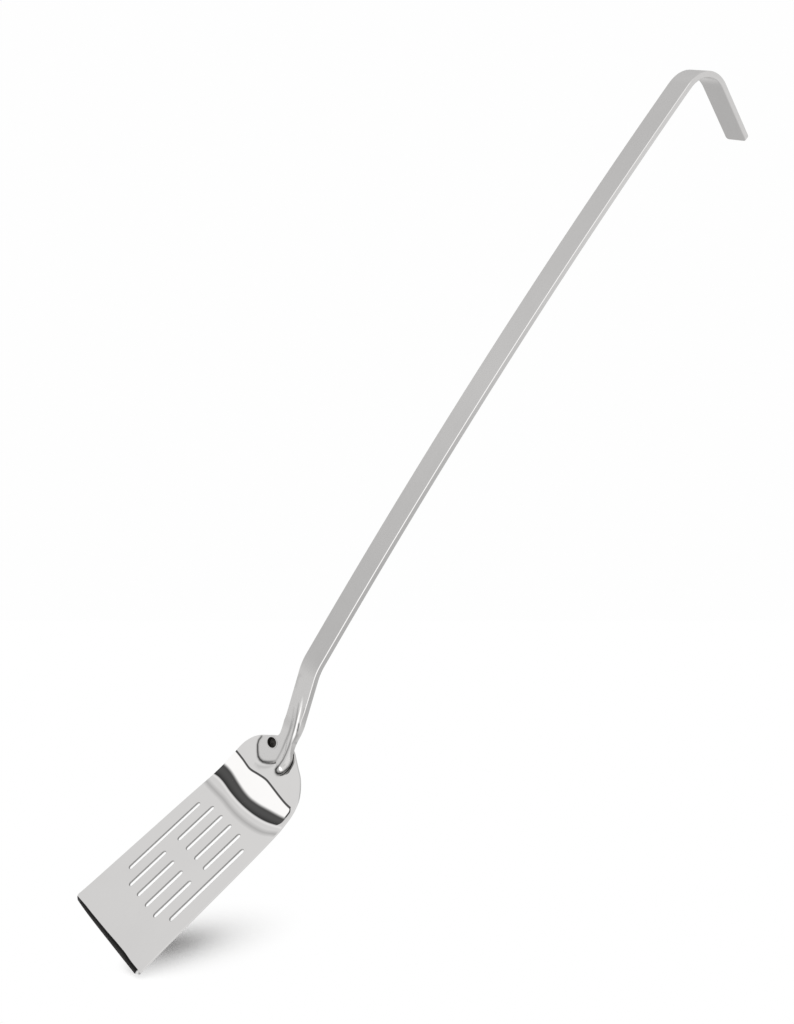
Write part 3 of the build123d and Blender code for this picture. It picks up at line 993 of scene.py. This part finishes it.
class Shader:
    """Empty node tree of a material or world."""

    def __init__(self, owner):
        owner.use_nodes = True
        self.tree = owner.node_tree
        self.tree.nodes.clear()

    def node(self, kind, inputs=None, **settings):
        """New node's first output. Inputs are signals to link or values to set."""
        made = self.tree.nodes.new("ShaderNode" + kind)
        for key, value in settings.items():
            setattr(made, key, value)
        for key, value in (inputs or {}).items():
            if isinstance(value, Signal):
                self.tree.links.new(value.socket, made.inputs[key])
            else:
                made.inputs[key].default_value = value
        return Signal(self, made.outputs[0])

    def mix_colour(self, factor, first, second, blend="MIX"):
        return self.node("Mix", {0: factor, 6: first, 7: second},
                         data_type="RGBA", blend_type=blend)[2]

    def dot(self, vector, direction):
        return self.node("VectorMath", {0: vector, 1: tuple(direction)},
                         operation="DOT_PRODUCT")["Value"]

    def output(self, kind, signal):
        made = self.tree.nodes.new("ShaderNodeOutput" + kind)
        self.tree.links.new(signal.socket, made.inputs[0])


def calculate(operation, *values, clamp=False):
    shader = next(value.shader for value in values if isinstance(value, Signal))
    return shader.node("Math", dict(enumerate(values)), operation=operation, use_clamp=clamp)


def map_range(value, low, high, to_low=0.0, to_high=1.0, shape="LINEAR"):
    return value.shader.node("MapRange", {
        "Value": value, "From Min": low, "From Max": high,
        "To Min": to_low, "To Max": to_high,
    }, interpolation_type=shape)


def gain(value, factor, offset):
    return calculate("MULTIPLY_ADD", value, factor, offset)


def step(value, edge, soft):
    """0 below edge, 1 above it, over a soft width."""
    return map_range(value - edge, -soft / 2, soft / 2, shape="SMOOTHSTEP")


def between(value, low, high, low_soft, high_soft):
    return step(value, low, low_soft) * (1.0 - step(value, high, high_soft))


def peak(value, centre, reach):
    """1 at the centre, falling evenly to 0 at reach on either side."""
    return calculate("SUBTRACT", 1.0, abs((value - centre) / reach), clamp=True)


def blend(factor, first, second):
    """first where factor is 0, second where it is 1."""
    return (1.0 - factor) * first + factor * second


def float_curve(value, points, straight=False):
    curve = value.shader.node("FloatCurve", {"Value": value})
    mapping = curve.socket.node.mapping
    mapping.use_clip = False
    stops = mapping.curves[0].points
    while len(stops) < len(points):
        stops.new(0.5, 0.5)
    for stop, point in zip(stops, points):
        stop.location = point
        if straight:
            stop.handle_type = "VECTOR"
    mapping.update()
    return curve


def level_curve(cosine, stops):
    """Straight-sided light level over a direction cosine, from (cosine, level) stops."""
    highest = 4.0
    points = [((place + 1.0) / 2.0, level / highest) for place, level in stops]
    return float_curve(map_range(cosine, -1.0, 1.0), points, straight=True) * highest


# -------------------------------------------------------------------- materials
def steel(name, colour, dark, rough, rough_spread, grain, grain_bump, scratch_depth,
          scratch_rough, waviness, painted_shade_reach=0.0, painted_shade_darkest=0.08, with_painted_tone=False):
    """Steel with grain, fine scratches and cloudy handling marks.

    grain: lines per metre along and across the flat piece. rough_spread: roughness added by
    handling marks, scratch_rough by scratches. waviness: metres. painted_shade_reach: distance
    in metres within which other surfaces darken this one, as painted shade, down to
    painted_shade_darkest. with_painted_tone: multiply the colour by the mesh's painted tone.
    """
    material = bpy.data.materials.new(name)
    shader = Shader(material)
    flat = shader.node("UVMap", uv_map="flat")
    place_ = shader.node("TexCoord")["Object"]
    stretched = shader.node("Mapping", {"Vector": flat, "Scale": (*grain, 1)})
    grain_noise = shader.node("TexNoise", {
        "Vector": stretched, "Scale": 1.0, "Detail": 5.0, "Roughness": 0.62})
    marks = shader.node("TexNoise", {
        "Vector": place_, "Scale": 38.0, "Detail": 6.0, "Roughness": 0.6, "Distortion": 0.7})
    # three families of scratches: rotation (radians) and stretch
    families = []
    for rotation, stretch in ((0.35, (60, 1500, 60)), (-1.1, (45, 1300, 45)),
                              (1.9, (70, 1700, 70))):
        turned = shader.node("Mapping", {
            "Vector": flat, "Rotation": (0, 0, rotation), "Scale": stretch})
        noise = shader.node("TexNoise", {"Vector": turned, "Scale": 1.0, "Detail": 2.0})
        families.append(map_range(noise, 0.66, 0.74))
    scratches = calculate("MAXIMUM", families[0], families[1])
    scratches = calculate("MAXIMUM", scratches, families[2])

    lightness = calculate("MULTIPLY_ADD", marks, 0.9, gain(grain_noise, 0.7, 0.12), clamp=True)
    base = shader.mix_colour(lightness, (*dark, 1), (*colour, 1))
    # the mesh's painted shade and highlight lines multiply the colour
    if with_painted_tone:
        tone = shader.node("Attribute", attribute_name="tone")["Fac"]
        base = shader.mix_colour(1.0, base, tone, "MULTIPLY")
    # painted shade: the colour darkens where other surfaces come close
    if painted_shade_reach:
        open_share = shader.node("AmbientOcclusion", {"Distance": painted_shade_reach}, samples=12)["AO"]
        shade = map_range(open_share, 0.45, 0.85, to_low=painted_shade_darkest)
        base = shader.mix_colour(1.0, base, shade, "MULTIPLY")
    roughness = gain(scratches, scratch_rough,
                     map_range(marks, 0.3, 0.7, rough, rough + rough_spread))
    waves = shader.node("TexNoise", {"Vector": place_, "Scale": 22.0, "Detail": 1.0})
    wavy = shader.node("Bump", {"Strength": 1.0, "Distance": waviness, "Height": waves})
    relief = gain(scratches, -scratch_depth, grain_noise * grain_bump)
    normal = shader.node("Bump", {
        "Strength": 1.0, "Distance": 0.000004, "Height": relief, "Normal": wavy})
    shader.output("Material", shader.node("BsdfPrincipled", {
        "Metallic": 1.0, "Base Color": base, "Roughness": roughness, "Normal": normal}))
    return material


def add_materials(blade, handle, rivet):
    sheet = steel(
        "polished_sheet_look", colour=(0.90, 0.892, 0.885), dark=(0.84, 0.832, 0.825),
        rough=0.04, rough_spread=0.03, grain=(300, 1400), grain_bump=0.25,
        scratch_depth=0.5, scratch_rough=0.09, waviness=0.0000012,
        painted_shade_reach=0.0012, painted_shade_darkest=0.35, with_painted_tone=True)
    # the bevel's dark colour is partly its ground finish, partly painted shade for the dark
    # reflection it shows
    bevel = steel(
        "ground_bevel_painted_dark_look", colour=(0.34, 0.335, 0.33), dark=(0.16, 0.155, 0.15),
        rough=0.16, rough_spread=0.10, grain=(2600, 180), grain_bump=3.0,
        scratch_depth=1.2, scratch_rough=0.08, waviness=0.000002, with_painted_tone=True)
    bar = steel(
        "satin_bar_look", colour=(0.82, 0.812, 0.805), dark=(0.75, 0.742, 0.735),
        rough=0.20, rough_spread=0.06, grain=(40, 2600), grain_bump=1.6,
        scratch_depth=0.5, scratch_rough=0.05, waviness=0.000004,
        painted_shade_reach=0.0013, painted_shade_darkest=0.3, with_painted_tone=True)
    # slot walls are darker than the sheet: partly their rough punched finish, partly painted
    # shade in the slots
    wall = steel(
        "punched_wall_painted_shade_look", colour=(0.44, 0.435, 0.43), dark=(0.29, 0.286, 0.282),
        rough=0.30, rough_spread=0.12, grain=(900, 900), grain_bump=2.0,
        scratch_depth=0.8, scratch_rough=0.06, waviness=0.000004)
    head = steel(
        "rivet_look", colour=(0.80, 0.795, 0.79), dark=(0.68, 0.675, 0.67),
        rough=0.16, rough_spread=0.08, grain=(900, 900), grain_bump=1.2,
        scratch_depth=0.8, scratch_rough=0.08, waviness=0.000003)
    # near-black bore: painted shade inside the rivet's hole
    bore = steel(
        "rivet_bore_painted_shade_look", colour=(0.11, 0.105, 0.10), dark=(0.05, 0.048, 0.046),
        rough=0.45, rough_spread=0.15, grain=(900, 900), grain_bump=2.0,
        scratch_depth=0.8, scratch_rough=0.05, waviness=0.000004)
    for made, looks in ((blade, (sheet, bevel, wall)), (handle, (bar,)),
                        (rivet, (head, bore))):
        for look in looks:
            made.data.materials.append(look)


# ------------------------------------------------------------- camera and world
def add_camera():
    data = bpy.data.cameras.new("camera")
    camera = add_object("camera", data)
    data.sensor_fit = "VERTICAL"
    data.sensor_height = SENSOR
    data.sensor_width = SENSOR
    data.lens = LENS
    data.clip_start, data.clip_end = 0.05, 50.0
    matrix = Matrix((RIGHT, UP, -FORWARD)).transposed().to_4x4()
    matrix.translation = [value * MM for value in CAMERA_AT]
    camera.matrix_world = matrix
    bpy.context.scene.camera = camera


def add_world():
    world = bpy.data.worlds.new("studio")
    bpy.context.scene.world = world
    shader = Shader(world)
    shader.output("World", shader.node(
        "Background", {"Color": (1, 1, 1, 1), "Strength": 0.992}))


# ------------------------------------------------------------------- light tent
# A big dome whose brightness depends on the direction looked in and, as for panels
# standing close by, on the place it is looked at from. Places here are in metres.
# Both tables: (cosine to the camera's up, level)
BLADE_SURROUND = [
    (-1.0, 0.92), (-0.45, 0.90), (-0.20, 0.80), (-0.10, 0.66), (0.05, 0.60), (0.20, 0.66),
    (0.27, 0.73), (0.345, 0.74), (0.50, 0.68), (0.65, 0.70), (0.80, 0.74), (0.92, 0.72),
    (1.0, 0.80),
]
BAR_SURROUND = [
    (-1.0, 0.62), (-0.70, 0.52), (-0.45, 0.51), (-0.30, 0.62), (-0.06, 0.72), (0.10, 0.62),
    (0.35, 0.56), (0.50, 0.56), (0.70, 0.57), (0.90, 0.60), (1.0, 0.66),
]


def surround(x, right, up, back):
    """General level of the tent as seen from the blade and from the handle."""
    behind = step(back, edge=0.66, soft=0.40)       # softbox behind the camera
    rightness = step(right, edge=0.45, soft=0.5)    # weaker light from the camera's right
    tent = blend(behind, level_curve(up, BLADE_SURROUND), 0.84)
    tent = blend(rightness, tent, tent * 0.80)
    bar = level_curve(up, BAR_SURROUND)
    bar = bar * gain(peak(x, centre=0.31, reach=0.16), factor=0.15, offset=1.0)
    bar = blend(behind, bar, 1.3)
    bar_right = gain(step(x, edge=0.32, soft=0.26), factor=0.21, offset=0.53)
    bar = blend(rightness, bar, bar_right)
    return blend(step(x, edge=0.108, soft=0.012), tent, bar)


def bend_curve(column, y):
    """x of one of the blade's uneven bend lines at y."""
    span_y, low, span = 80.0, 90.0, 35.0            # mm covered by the curve
    points = [((station + span_y / 2) / span_y,
               (float(surface.curve(column, station)) - low) / span)
              for station in np.linspace(-36, 36, 25)]
    curve = float_curve(gain(y, 1.0 / 0.080, 0.5), points)
    return gain(curve, 0.035, (low + FRONT_X) * MM)


def bend_reflections(level, x, y, toward, skyward):
    """Bands seen in the blade's rise."""
    start, steepens, eases, crease = (bend_curve(i, y) for i in range(4))
    # soft grey line where the rise begins, and a bright fringe before the dark strip
    soft_line = peak(x, centre=start - 0.0010, reach=0.0025)
    level = blend(soft_line * (toward * 0.46), level, 0.2)
    fringe = peak(x, centre=steepens - 0.0008, reach=0.0011)
    level = blend(fringe * (toward * 0.5), level, 1.0)
    # the bands close round before the -Y edge, with two rounded corners
    corner = calculate("DIVIDE", x - (crease - 0.0024), 0.0024, clamp=True)
    far = gain(corner * corner, 0.0016, -0.0318)
    corner = calculate("DIVIDE", (steepens + 0.0030) - x, 0.0030, clamp=True)
    far = gain(corner * corner, 0.0016, far)
    within = step(y, edge=far, soft=0.0006)
    dark = between(x, steepens, eases, low_soft=0.0010, high_soft=0.0024)
    white = between(x, eases, crease, low_soft=0.0024, high_soft=0.0004)
    crease_line = between(x, crease - 0.0006, crease + 0.0006,
                          low_soft=0.0004, high_soft=0.0004)
    end_line = (within * (1.0 - step(y, edge=far + 0.0011, soft=0.0005))) * white
    # the dark strip is lightest in its middle and lightens towards the crease
    share = calculate("DIVIDE", x - steepens, eases - steepens, clamp=True)
    hump = (share * (1.0 - share)) * 4.0
    dark_level = gain(hump, factor=0.055, offset=0.018) + share * 0.03
    level = blend((white * within) * toward, level, 1.08)
    level = blend((dark * within) * toward, level, dark_level)
    level = blend(end_line * skyward, level, 0.05)
    return blend(((crease_line * within) * 0.94) * skyward, level, 0.04)


def rib_lights(level, x, y, skyward):
    """Small hard lights caught by the rib: one at its nose, one along the neck."""
    radius = (((x - 0.0829) / 0.0014) ** 2.0 + ((y + 0.0110) / 0.0021) ** 2.0) ** 0.5
    nose = calculate("SUBTRACT", 1.0, radius, clamp=True)
    level = blend(step(nose, edge=0.25, soft=0.5) * skyward, level, 1.6)
    gleam = peak(y, centre=gain(x - 0.1004, factor=0.24, offset=-0.0070), reach=0.0014)
    gleam = gleam * between(x, 0.0985, 0.116, low_soft=0.006, high_soft=0.008)
    return blend((gleam * 0.75) * skyward, level, 1.5)


def light_tent_material():
    material = bpy.data.materials.new("light_tent_look")
    shader = Shader(material)
    geometry = shader.node("NewGeometry")
    incoming = geometry["Incoming"]
    ray = shader.node("LightPath")
    # the place the tent is looked at from
    back = shader.node("VectorMath", {0: incoming, "Scale": ray["Ray Length"]},
                       operation="SCALE")
    origin = shader.node("SeparateXYZ", {0: shader.node(
        "VectorMath", {0: geometry["Position"], 1: back}, operation="ADD")})
    x, y = origin["X"], origin["Y"]
    right, up, forward = (shader.dot(incoming, -axis) for axis in (RIGHT, UP, FORWARD))
    skyward = step(shader.dot(incoming, (0.0, 0.0, -1.0)), edge=0.1, soft=0.2)
    toward = step(up, edge=0.38, soft=0.10) * step(-right, edge=0.5, soft=0.2)

    level = surround(x, right, up, -forward)
    level = bend_reflections(level, x, y, toward, skyward)
    level = rib_lights(level, x, y, skyward)
    # dark card in front of the blade's edge, seen in the ground bevel
    card = ((1.0 - step(x, edge=(FRONT_X + 5.6) * MM, soft=0.0006))
            * (1.0 - step(up, edge=0.45, soft=0.2)))
    card = (card * step(y, edge=-0.0351, soft=0.0006)) * skyward
    level = blend(card, level, 0.07)
    # soft light for everything that is not a mirror, from the left and behind the camera
    diffuse = gain(step(-right, edge=0.1, soft=1.2), factor=0.9, offset=0.22)
    diffuse = diffuse + step(-forward, edge=0.1, soft=1.2) * 2.3
    level = blend(ray["Is Diffuse Ray"], level, diffuse)
    shader.output("Material", shader.node(
        "Emission", {"Color": (1.0, 0.996, 0.994, 1), "Strength": level}))
    return material


def add_light_tent():
    mesh = bpy.data.meshes.new("light_tent")
    work = bmesh.new()
    bmesh.ops.create_icosphere(work, subdivisions=3, radius=7.0)
    work.to_mesh(mesh)
    work.free()
    dome = add_object("light_tent", mesh)
    material = light_tent_material()
    mesh.materials.append(material)
    material.cycles.emission_sampling = "NONE"
    dome.visible_camera = False


# ---------------------------------------------------------------- floor and key
# The floor is square to the camera's up and passes just below the blade's front -Y corner.
FLOOR_AT = (Vector((FRONT_X + 1.0, -37.4, -0.1)) - UP * 0.6) * MM
FLOOR_HALF = 2.0              # metres


def floor_material():
    """Grey, with a painted shadow where the blade's corner stands, running out to plain white;
    clear from below.
    """
    material = bpy.data.materials.new("floor_look")
    shader = Shader(material)
    geometry = shader.node("NewGeometry")
    noise = shader.node("TexNoise", {
        "Scale": 260.0, "Vector": shader.node("TexCoord")["Object"]})
    grey = shader.mix_colour(noise, (0.60, 0.60, 0.60, 1), (0.63, 0.63, 0.63, 1))
    offset = shader.node("VectorMath", {0: geometry["Position"], 1: tuple(FLOOR_AT)},
                         operation="SUBTRACT")
    right, away_ = shader.dot(offset, RIGHT), shader.dot(offset, FORWARD)

    def oval(centre, radii, lean):
        """Squared distance from centre in radii; (right, away) in metres, skewed by lean."""
        aside = right - centre[0]
        first = (aside / radii[0]) ** 2.0
        return first + (((away_ - centre[1]) + aside * lean) / radii[1]) ** 2.0

    # painted shadow: a dark oval mixed into the floor's grey beside the blade's corner
    shadow = oval(centre=(0.010, 0.048), radii=(0.022, 0.024), lean=-0.4)
    painted_shadow_core = calculate("EXPONENT", -shadow) * 0.52
    floor_with_painted_shadow = shader.mix_colour(painted_shadow_core, grey, (0.10, 0.095, 0.095, 1))
    reach = calculate("SQRT", oval(centre=(0.006, 0.049), radii=(1.15, 1.05), lean=-0.45))
    fade = calculate("MAXIMUM", map_range(reach, 0.0, 0.068, shape="SMOOTHSTEP"),
                     map_range(-right, -0.004, 0.016, shape="SMOOTHSTEP"))
    surface_look = shader.node("MixShader", {
        0: fade, 1: shader.node("BsdfDiffuse", {"Color": floor_with_painted_shadow}),
        2: shader.node("Emission", {"Strength": 1.0})})
    shader.output("Material", shader.node("MixShader", {
        0: geometry["Backfacing"], 1: surface_look, 2: shader.node("BsdfTransparent")}))
    return material


def add_floor():
    mesh = bpy.data.meshes.new("floor")
    corners = [tuple(FLOOR_AT + RIGHT * i * FLOOR_HALF + FORWARD * j * FLOOR_HALF)
               for i, j in ((-1, -1), (1, -1), (1, 1), (-1, 1))]
    mesh.from_pydata(corners, [], [(0, 1, 2, 3)])
    floor = add_object("floor", mesh)
    mesh.materials.append(floor_material())
    floor.visible_glossy = False


def add_key():
    data = bpy.data.lights.new("key", "AREA")
    data.shape = "DISK"
    data.size = 1.1
    data.energy = 6.0
    key = add_object("key", data)
    # metres from the floor's centre: to the left, above and slightly away
    position = FLOOR_AT + RIGHT * -0.9 + UP * 2.0 + FORWARD * 0.1
    key.location = position
    key.rotation_mode = "QUATERNION"
    key.rotation_quaternion = (FLOOR_AT - position).to_track_quat("-Z", "Y")
    key.visible_glossy = False


# ------------------------------------------------------------------------ build
add_materials(build_blade(), build_handle(), build_rivet())
add_camera()
add_world()
add_light_tent()
add_floor()
add_key()

scene = bpy.context.scene
scene.view_settings.view_transform = "Standard"
scene.view_settings.look = "None"
scene.cycles.max_bounces = 8
scene.cycles.glossy_bounces = 6
